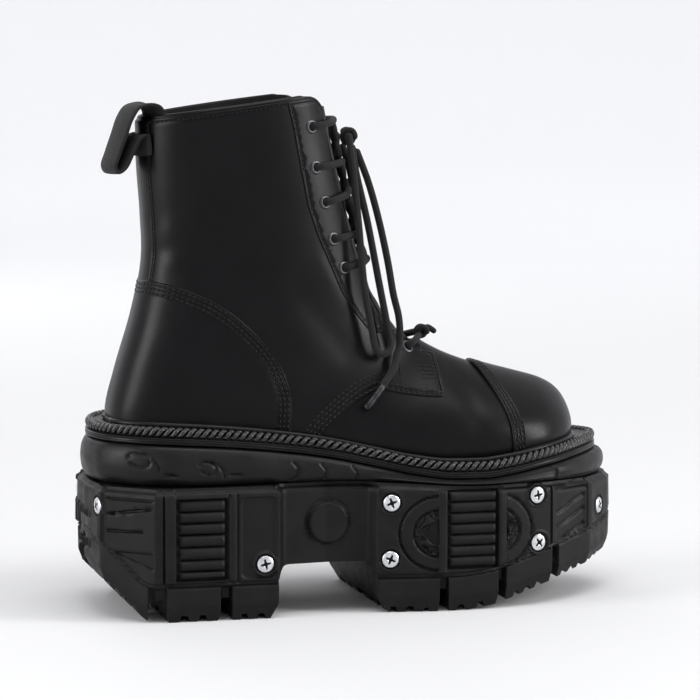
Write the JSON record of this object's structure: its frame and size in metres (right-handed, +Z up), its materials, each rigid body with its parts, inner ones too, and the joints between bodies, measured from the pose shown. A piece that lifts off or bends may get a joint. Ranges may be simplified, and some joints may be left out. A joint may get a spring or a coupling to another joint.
{
  "type": "platform boot",
  "caption": "Lace-up ankle boot on a thick lugged platform sole, with hollow upper, tongue, proud toe cap and heel counter, side zip, pull loop and screwed sole blocks.",
  "frame": {"origin": "on the floor under the middle of the sole's outline", "axes": "+X towards the toe, +Y towards the inner (medial) side of the right foot, -Y the outer side, +Z up"},
  "size_m": [0.308, 0.12, 0.28],
  "materials": {
    "sole_rubber": "satin moulded rubber",
    "midsole_rubber": "satin moulded rubber",
    "welt_rubber": "satin rubber with stitching",
    "insole_lining": "matt lining",
    "upper_leather": "semi-gloss smooth leather",
    "tongue_leather": "semi-gloss smooth leather",
    "webbing": "woven webbing",
    "eyelet_metal": "gunmetal",
    "lace": "woven round lace",
    "zip_metal": "dark metal",
    "screw_steel": "bright steel"
  },
  "bodies": {
    "boot": {"outsole": "sole_rubber", "midsole": "midsole_rubber", "welt": "welt_rubber", "insole": "insole_lining", "upper": "upper_leather", "toe_cap": "upper_leather", "heel_counter": "upper_leather", "tongue": "tongue_leather", "pull_loop": "webbing", "eyelet_lateral_1": "eyelet_metal", "eyelet_lateral_2": "eyelet_metal", "eyelet_lateral_3": "eyelet_metal", "eyelet_lateral_4": "eyelet_metal", "eyelet_lateral_5": "eyelet_metal", "eyelet_lateral_6": "eyelet_metal", "eyelet_medial_1": "eyelet_metal", "eyelet_medial_2": "eyelet_metal", "eyelet_medial_3": "eyelet_metal", "eyelet_medial_4": "eyelet_metal", "eyelet_medial_5": "eyelet_metal", "eyelet_medial_6": "eyelet_metal", "lace_bars": "lace", "lace_knot": "lace", "lace_loop_lateral": "lace", "lace_loop_medial": "lace", "lace_end_lateral": "lace", "lace_end_medial": "lace", "zip_teeth": "zip_metal", "zip_slider": "zip_metal", "screw_heel_side_lateral": "screw_steel", "screw_heel_back_lateral": "screw_steel", "screw_fore_rear_high_lateral": "screw_steel", "screw_fore_rear_low_lateral": "screw_steel", "screw_fore_front_high_lateral": "screw_steel", "screw_fore_front_low_lateral": "screw_steel", "screw_toe_lateral": "screw_steel", "screw_heel_side_medial": "screw_steel", "screw_heel_back_medial": "screw_steel", "screw_fore_rear_high_medial": "screw_steel", "screw_fore_rear_low_medial": "screw_steel", "screw_fore_front_high_medial": "screw_steel", "screw_fore_front_low_medial": "screw_steel", "screw_toe_medial": "screw_steel"},
    "zip_pull": {"zip_pull": "zip_metal"}
  },
  "joints": [
    {"name": "zip_pull_hinge", "type": "hinge", "parent": "boot", "child": "zip_pull", "pos_m": [-0.0488, 0.0422, 0.2454], "axis": [1, 0, 0], "range_deg": [0, 165]}
  ]
}
